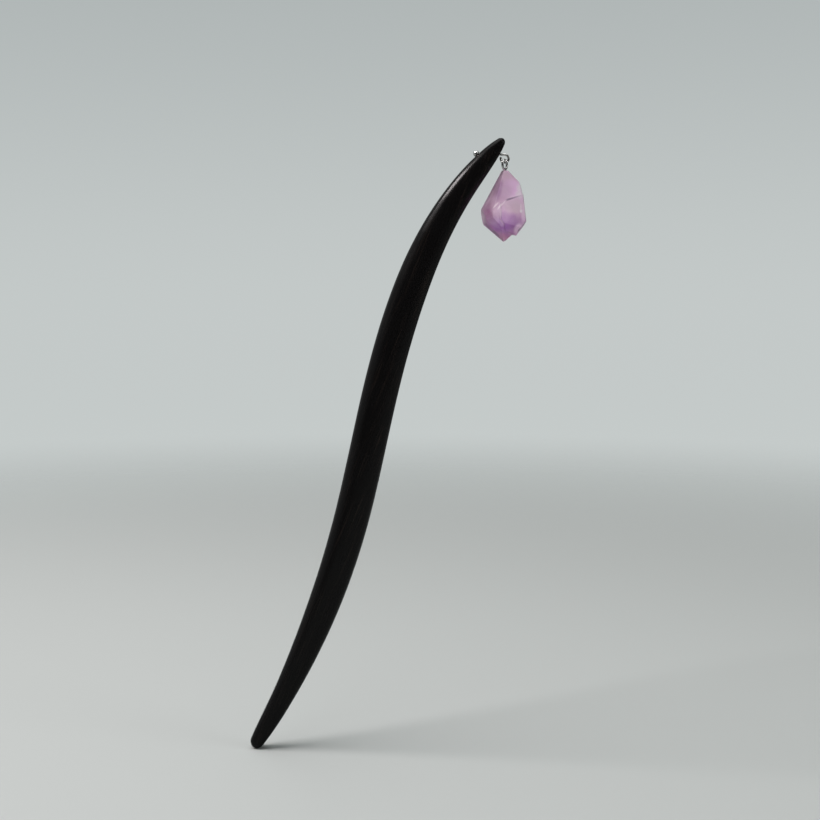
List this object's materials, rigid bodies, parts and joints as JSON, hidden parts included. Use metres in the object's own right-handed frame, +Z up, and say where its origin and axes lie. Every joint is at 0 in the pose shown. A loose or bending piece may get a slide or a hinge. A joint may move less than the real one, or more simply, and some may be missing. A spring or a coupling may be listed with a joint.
{
  "type": "hair stick",
  "caption": "Curved dark hardwood hair stick with a ball-headed wire pin through its head, whose loop holds a hanging violet crystal point.",
  "frame": {"origin": "the middle line of the stick at about half its length, where the hair grips it", "axes": "+Z up with the stick as it stands, thin end down and drop hanging; +X to the right, the side that the head leans to and the drop hangs on; +Y to the back"},
  "size_m": [0.0732, 0.01, 0.1621],
  "materials": {
    "wood": "oiled and hand-polished near-black hardwood, satin",
    "wire": "bright polished silver-coloured metal",
    "crystal": "translucent violet quartz, clouded, natural crystal faces"
  },
  "bodies": {
    "stick": {"shaft": "wood"},
    "pin": {"ball_pin": "wire"},
    "drop": {"drop_eye": "wire", "stone": "crystal"}
  },
  "joints": [
    {"name": "pin_turn", "type": "hinge", "parent": "stick", "child": "pin", "pos_m": [0.02885, 0, 0.07945], "axis": [0.9994, 0, -0.0349], "range_deg": [-60, 60]},
    {"name": "drop_swing", "type": "hinge", "parent": "pin", "child": "drop", "pos_m": [0.03621, 0, 0.07819], "axis": [0, -1, 0], "range_deg": [-6, 60]}
  ]
}
